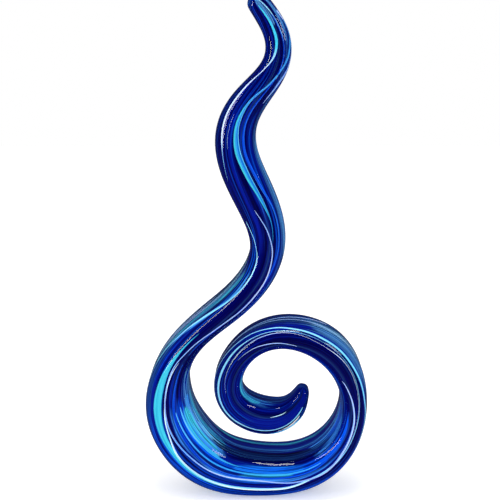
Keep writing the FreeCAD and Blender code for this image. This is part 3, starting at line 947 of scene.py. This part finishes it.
colour = streaked(tree, ROYAL, TURQUOISE, around=7.0, along=6.0, shift=17.0, low=0.38, high=0.56)
colour = streaked(tree, colour, ICE, around=9.0, along=8.0, shift=27.0, low=0.54, high=0.68)
seen_in(tree, shader, colour)
trough.data.materials.append(trough_glass)

# Veil streaks: eight fine canes of misty and lilac glass over the pale core, laid just under the
# clear casing.
VEIL_TABLES = (
    ((11.0, -0.26, 0.001), (12.5, -0.24, 0.004), (14.5, -0.26, 0.005), (16.5, -0.28, 0.001)),
    ((11.5, -0.32, 0.001), (13.5, -0.30, 0.006), (15.5, -0.33, 0.001)),
    ((12.2, -0.28, 0.001), (13.6, -0.27, 0.004), (14.6, -0.29, 0.001)),
    ((28.5, -0.34, 0.001), (29.5, -0.31, 0.003), (31.5, -0.28, 0.003), (33.0, -0.27, 0.001)),
    ((5.8, 0.25, 0.001), (7.5, 0.24, 0.004), (9.5, 0.26, 0.001)),
    ((26.5, -0.25, 0.001), (28.0, -0.24, 0.005), (30.0, -0.26, 0.004), (32.5, -0.28, 0.001)),
    ((23.8, -0.24, 0.001), (25.0, -0.235, 0.004), (26.6, -0.22, 0.001)),
    ((33.0, 0.26, 0.001), (34.5, 0.25, 0.005), (36.0, 0.26, 0.001)),
)
veils = canes("veil_canes", "veil_streaks", top=2.2, tables=VEIL_TABLES)
veil_glass, shader = coloured_glass("veil_glass", painted_glow=0.7)
tree = veil_glass.node_tree
colour = streaked(tree, MIST, LILAC, around=5.0, along=9.0, shift=37.0, low=0.4, high=0.6)
seen_in(tree, shader, colour)
veils.data.materials.append(veil_glass)

# Floor: a plain white table top. Seen straight or through the glass it glows a little, to be as
# white as the surroundings, and it stays dark in reflections on the glass.
FLOOR_SIZE = 3.0
FLOOR_WHITE = (0.9, 0.9, 0.9)
FLOOR_MIRRORED = (0.04, 0.04, 0.05)
FLOOR_GLOW = 0.35
bpy.ops.object.select_all(action="DESELECT")
bpy.ops.mesh.primitive_plane_add(size=FLOOR_SIZE)
floor = bpy.context.object
floor.name = "floor"
white = bpy.data.materials.new("white_floor")
white.use_nodes = True
shader = white.node_tree.nodes["Principled BSDF"]
shader.inputs["Roughness"].default_value = 0.9
shader.inputs["Specular IOR Level"].default_value = 0.0
shader.inputs["Emission Color"].default_value = (1, 1, 1, 1)


def seen_straight(tree):
    """The rays' node, and a mask of those that come from the camera or through the glass."""
    ray = put(tree, "ShaderNodeLightPath")
    return ray, sum_of(tree, "MAXIMUM", ray.outputs["Is Camera Ray"], ray.outputs["Is Transmission Ray"])


tree = white.node_tree
ray, seen = seen_straight(tree)
tree.links.new(sum_of(tree, "MULTIPLY", seen, FLOOR_GLOW), shader.inputs["Emission Strength"])
mirrored = sum_of(tree, "SUBTRACT", ray.outputs["Is Glossy Ray"], seen)
tree.links.new(mixed(tree, mirrored, FLOOR_WHITE, FLOOR_MIRRORED), shader.inputs["Base Color"])
floor.data.materials.append(white)

# Lamps: three soft studio lamps, one at each side in front and one overhead, all turned to the
# middle of the sculpture. Places and sizes are in metres, power in watts.
MIDDLE = Vector((0, 0, 0.16))


def softbox(name, place, size, power):
    """A soft studio lamp with an oval face."""
    lamp = bpy.data.lights.new(name, "AREA")
    lamp.shape = "ELLIPSE"
    lamp.size, lamp.size_y = size
    lamp.energy = power
    holder = bpy.data.objects.new(name, lamp)
    bpy.context.collection.objects.link(holder)
    holder.location = place
    holder.rotation_euler = (MIDDLE - holder.location).to_track_quat("-Z", "Y").to_euler()


softbox("left_strip", place=(-0.68, -0.48, 0.45), size=(0.20, 0.7), power=1.8)
softbox("right_panel", place=(0.55, -0.45, 0.55), size=(0.20, 0.3), power=0.7)
softbox("overhead", place=(0.0, -0.15, 1.1), size=(0.5, 0.25), power=2.2)

# Surroundings: plain white where they are seen straight or through the glass, and an even soft
# light on the object. In reflections on the glass they are dark, so that its colours stay deep.
SOFT_LIGHT = 0.85
MIRRORED_FRONT = 0.01
MIRRORED_BACK = 0.02
# The mirrored level changes where a ray's direction to the back lies between these two.
FRONT_EDGE = -0.3
BACK_EDGE = 0.5
world = bpy.data.worlds.new("studio")
bpy.context.scene.world = world
world.use_nodes = True
tree = world.node_tree
tree.nodes.clear()
view = put(tree, "ShaderNodeTexCoord")
parts = put(tree, "ShaderNodeSeparateXYZ")
tree.links.new(view.outputs["Generated"], parts.inputs[0])
behind = put(tree, "ShaderNodeMapRange", interpolation_type="SMOOTHSTEP")
tree.links.new(parts.outputs[1], behind.inputs["Value"])
behind.inputs["From Min"].default_value = FRONT_EDGE
behind.inputs["From Max"].default_value = BACK_EDGE
behind.inputs["To Min"].default_value = MIRRORED_FRONT
behind.inputs["To Max"].default_value = MIRRORED_BACK
ray, seen = seen_straight(tree)
level = between(tree, ray.outputs["Is Glossy Ray"], SOFT_LIGHT, behind.outputs[0])
light = put(tree, "ShaderNodeBackground")
light.inputs["Color"].default_value = (1, 1, 1, 1)
tree.links.new(between(tree, seen, level, 1.0), light.inputs["Strength"])
tree.links.new(light.outputs[0], put(tree, "ShaderNodeOutputWorld").inputs[0])

# Camera: a long lens in front of the sculpture, a little above its tip, which looks down on it. Its
# place is in metres and its tilt, from straight down, in degrees.
CAMERA_PLACE = (-0.005, -0.8229, 0.3936)
CAMERA_TILT = 75.5
FOCAL_LENGTH = 87.05
lens = bpy.data.cameras.new("camera")
lens.lens = FOCAL_LENGTH
camera = bpy.data.objects.new("camera", lens)
bpy.context.collection.objects.link(camera)
camera.location = CAMERA_PLACE
camera.rotation_euler = (math.radians(CAMERA_TILT), 0, 0)
bpy.context.scene.camera = camera
bpy.context.scene.view_settings.view_transform = "Standard"
